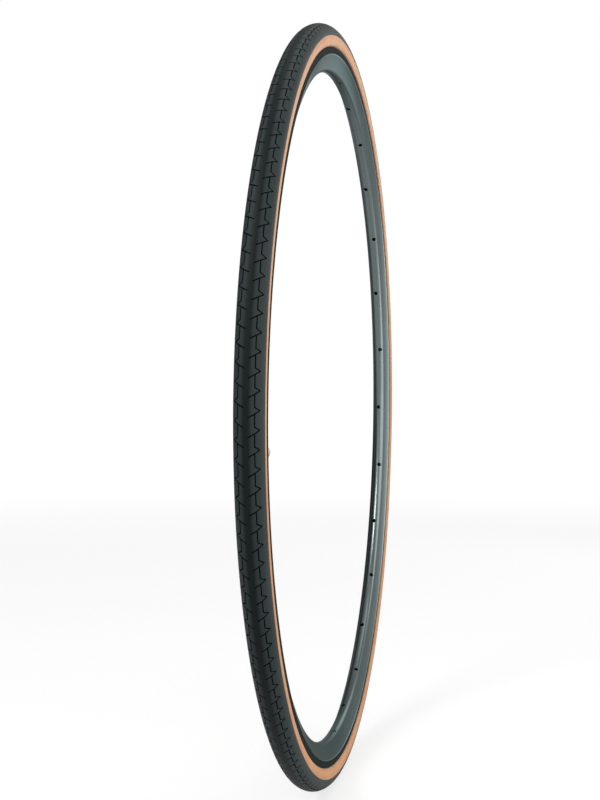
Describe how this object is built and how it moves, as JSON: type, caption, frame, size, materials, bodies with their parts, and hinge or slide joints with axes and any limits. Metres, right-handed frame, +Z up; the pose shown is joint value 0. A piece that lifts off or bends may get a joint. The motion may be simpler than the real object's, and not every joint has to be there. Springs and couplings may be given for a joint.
{
  "type": "bicycle tyre on a rim",
  "caption": "Narrow bicycle tyre with a grooved dark tread and tan sidewalls, mounted with its inner tube and valve on a drilled hollow rim.",
  "frame": {"origin": "centre of the wheel, on the axle line in the tyre's middle plane", "axes": "+Y along the axle line to the left side, +Z up, +X completes the right-handed frame; the valve lies just below -X"},
  "size_m": [0.67, 0.0214, 0.67],
  "materials": {
    "tread_rubber": "satin",
    "tan_rubber": "matte",
    "casing_cloth": "matte",
    "aramid_cloth": "matte",
    "chafer_cloth": "matte",
    "bead_steel": "satin",
    "butyl_rubber": "matte",
    "cotton_tape": "matte",
    "anodised_aluminium": "satin",
    "bare_aluminium": "satin",
    "valve_brass": "satin",
    "nickel_plate": "polished",
    "cap_plastic": "satin"
  },
  "bodies": {
    "wheel": {"tread_cap": "tread_rubber", "puncture_breaker": "aramid_cloth", "casing_ply": "casing_cloth", "sidewall_left": "tan_rubber", "sidewall_right": "tan_rubber", "bead_wire_left": "bead_steel", "bead_wire_right": "bead_steel", "chafer_left": "chafer_cloth", "chafer_right": "chafer_cloth", "inner_tube": "butyl_rubber", "rim": "anodised_aluminium", "rim_tape": "cotton_tape", "rim_joint_sleeve": "bare_aluminium", "valve_base_patch": "butyl_rubber", "valve_stem": "nickel_plate", "valve_core_body": "valve_brass"},
    "core_pin": {"valve_core_pin": "valve_brass", "valve_core_seal": "butyl_rubber"},
    "tip_nut": {"valve_tip_nut": "valve_brass"},
    "rim_nut": {"valve_rim_nut": "nickel_plate"},
    "dust_cap": {"valve_dust_cap": "cap_plastic"}
  },
  "joints": [
    {"name": "dust_cap_pull", "type": "slide", "parent": "wheel", "child": "dust_cap", "axis": [0.9937, 0, 0.112], "range_m": [0, 0.016]},
    {"name": "rim_nut_travel", "type": "slide", "parent": "wheel", "child": "rim_nut", "axis": [0.9937, 0, 0.112], "range_m": [0, 0.0035]},
    {"name": "pin_press", "type": "slide", "parent": "wheel", "child": "core_pin", "axis": [-0.9937, 0, -0.112], "range_m": [0, 0.0018], "stiffness_N_per_m": 40, "springref_m": -0.01},
    {"name": "tip_nut_unscrew", "type": "slide", "parent": "core_pin", "child": "tip_nut", "axis": [0.9937, 0, 0.112], "range_m": [0, 0.0022]}
  ],
  "couplings": [
    {"joint": "pin_press", "follows": "tip_nut_unscrew", "ratio": 0.8}
  ]
}
